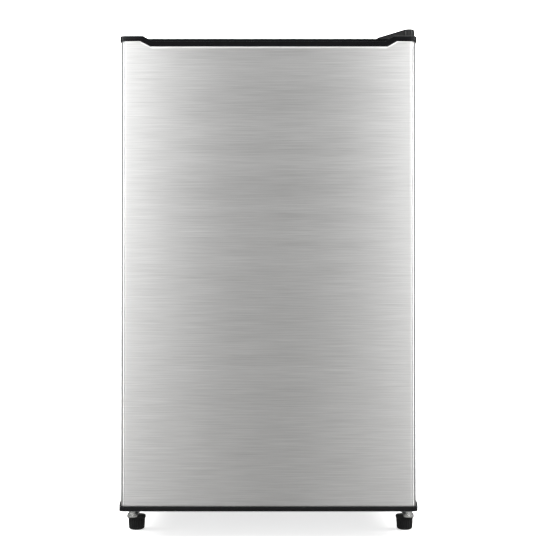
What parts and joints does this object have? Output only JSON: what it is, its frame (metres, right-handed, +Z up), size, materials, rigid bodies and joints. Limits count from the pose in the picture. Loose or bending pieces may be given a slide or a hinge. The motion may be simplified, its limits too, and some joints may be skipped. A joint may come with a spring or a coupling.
{
  "type": "mini fridge",
  "caption": "Compact single-door refrigerator with a brushed steel door, top finger pull, levelling feet, freezer box, shelves and rear condenser.",
  "frame": {"origin": "centre of the footprint, on the floor under the feet", "axes": "+Z up, -Y towards the user (the door's front), +X towards the door's hinge side"},
  "size_m": [0.4793, 0.445, 0.8165],
  "materials": {
    "black_cabinet_paint": "matte",
    "galvanised_steel": "satin",
    "white_liner_plastic": "satin",
    "polyurethane_foam": "matte",
    "zinc_plate": "satin",
    "black_satin_plastic": "satin",
    "black_foot_plastic": "matte",
    "black_rubber": "matte",
    "black_enamel": "gloss",
    "copper": "satin",
    "dark_tray_plastic": "matte",
    "evaporator_aluminium": "satin",
    "frosted_flap_plastic": "satin",
    "white_knob_plastic": "satin",
    "shelf_glass": "gloss",
    "white_trim_plastic": "satin",
    "clear_bin_plastic": "gloss",
    "brushed_stainless": "satin",
    "grey_gasket": "matte",
    "nylon_bush": "matte"
  },
  "bodies": {
    "cabinet": {"outer_wrap": "black_cabinet_paint", "lower_front_rail": "black_cabinet_paint", "base_pan": "galvanised_steel", "compressor_bay_plate": "galvanised_steel", "back_panel": "galvanised_steel", "inner_liner": "white_liner_plastic", "foam_insulation": "polyurethane_foam", "top_hinge_plate": "zinc_plate", "top_hinge_pin": "zinc_plate", "top_hinge_screws": "zinc_plate", "hinge_cover": "black_satin_plastic", "lower_hinge_bracket": "zinc_plate", "lower_hinge_pin": "zinc_plate", "left_foot_bracket": "zinc_plate", "spare_hinge_stud": "zinc_plate", "bracket_screws": "zinc_plate", "rear_feet": "black_rubber", "hinge_hole_plugs": "black_satin_plastic", "compressor": "black_enamel", "compressor_grommets": "black_rubber", "compressor_bolts": "zinc_plate", "terminal_cover": "black_satin_plastic", "evaporation_tray": "dark_tray_plastic", "condenser_tube": "black_enamel", "condenser_wires": "black_enamel", "condenser_brackets": "black_satin_plastic", "discharge_line": "copper", "suction_line": "copper", "filter_dryer": "copper", "capillary_tube": "copper", "cord_gland": "black_satin_plastic", "evaporator_box": "evaporator_aluminium", "evaporator_hangers": "white_liner_plastic", "flap_hinge_blocks": "white_liner_plastic", "drip_tray_rails": "white_liner_plastic", "thermostat_housing": "white_knob_plastic"},
    "door": {"door_panel": "brushed_stainless", "door_top_cap": "black_satin_plastic", "door_bottom_cap": "black_satin_plastic", "door_foam": "polyurethane_foam", "door_liner": "white_liner_plastic", "door_gasket": "grey_gasket", "door_hinge_bushes": "nylon_bush"},
    "lower_bin": {"lower_door_bin": "clear_bin_plastic"},
    "middle_bin": {"middle_door_bin": "clear_bin_plastic"},
    "upper_bin": {"upper_door_bin": "clear_bin_plastic"},
    "freezer_door": {"freezer_flap": "frosted_flap_plastic"},
    "melt_tray": {"drip_tray": "frosted_flap_plastic"},
    "thermostat_dial": {"thermostat_knob": "white_knob_plastic"},
    "upper_glass_shelf": {"upper_shelf_glass": "shelf_glass", "upper_shelf_trims": "white_trim_plastic"},
    "lower_glass_shelf": {"lower_shelf_glass": "shelf_glass", "lower_shelf_trims": "white_trim_plastic"},
    "crisper_lid": {"crisper_cover_glass": "shelf_glass", "crisper_cover_trims": "white_trim_plastic"},
    "crisper": {"crisper_drawer": "clear_bin_plastic"},
    "left_foot": {"left_foot_knob": "black_foot_plastic", "left_foot_stud": "zinc_plate"},
    "right_foot": {"right_foot_knob": "black_foot_plastic", "right_foot_stud": "zinc_plate"}
  },
  "joints": [
    {"name": "door_swing", "type": "hinge", "parent": "cabinet", "child": "door", "pos_m": [0.2265, -0.2045, 0.4], "axis": [0, 0, 1], "range_deg": [0, 120]},
    {"name": "lower_bin_lift", "type": "slide", "parent": "door", "child": "lower_bin", "axis": [0, 0, 1], "range_m": [0, 0.012]},
    {"name": "middle_bin_lift", "type": "slide", "parent": "door", "child": "middle_bin", "axis": [0, 0, 1], "range_m": [0, 0.012]},
    {"name": "upper_bin_lift", "type": "slide", "parent": "door", "child": "upper_bin", "axis": [0, 0, 1], "range_m": [0, 0.012]},
    {"name": "freezer_flap_swing", "type": "hinge", "parent": "cabinet", "child": "freezer_door", "pos_m": [0, -0.0642, 0.747], "axis": [-1, 0, 0], "range_deg": [0, 85]},
    {"name": "drip_tray_slide", "type": "slide", "parent": "cabinet", "child": "melt_tray", "axis": [0, -1, 0], "range_m": [0, 0.12]},
    {"name": "thermostat_turn", "type": "hinge", "parent": "cabinet", "child": "thermostat_dial", "pos_m": [0.176, -0.047, 0.598], "axis": [0, -1, 0], "range_deg": [0, 270]},
    {"name": "upper_shelf_slide", "type": "slide", "parent": "cabinet", "child": "upper_glass_shelf", "axis": [0, -1, 0], "range_m": [0, 0.1]},
    {"name": "lower_shelf_slide", "type": "slide", "parent": "cabinet", "child": "lower_glass_shelf", "axis": [0, -1, 0], "range_m": [0, 0.1]},
    {"name": "crisper_cover_slide", "type": "slide", "parent": "cabinet", "child": "crisper_lid", "axis": [0, -1, 0], "range_m": [0, 0.1]},
    {"name": "crisper_drawer_slide", "type": "slide", "parent": "cabinet", "child": "crisper", "axis": [0, -1, 0], "range_m": [0, 0.11]},
    {"name": "left_foot_turn", "type": "hinge", "parent": "cabinet", "child": "left_foot", "pos_m": [-0.2184, -0.15, 0.012], "axis": [0, 0, 1], "continuous": true},
    {"name": "right_foot_turn", "type": "hinge", "parent": "cabinet", "child": "right_foot", "pos_m": [0.225, -0.15, 0.012], "axis": [0, 0, 1], "continuous": true}
  ],
  "couplings": [
    {"joint": "freezer_flap_swing", "follows": "door_swing", "ratio": 0.70762},
    {"joint": "drip_tray_slide", "follows": "door_swing", "m_per_rad": 0.057238},
    {"joint": "upper_shelf_slide", "follows": "door_swing", "m_per_rad": 0.047699},
    {"joint": "lower_shelf_slide", "follows": "door_swing", "m_per_rad": 0.047699},
    {"joint": "crisper_cover_slide", "follows": "door_swing", "m_per_rad": 0.047699},
    {"joint": "crisper_drawer_slide", "follows": "door_swing", "m_per_rad": 0.052469}
  ]
}
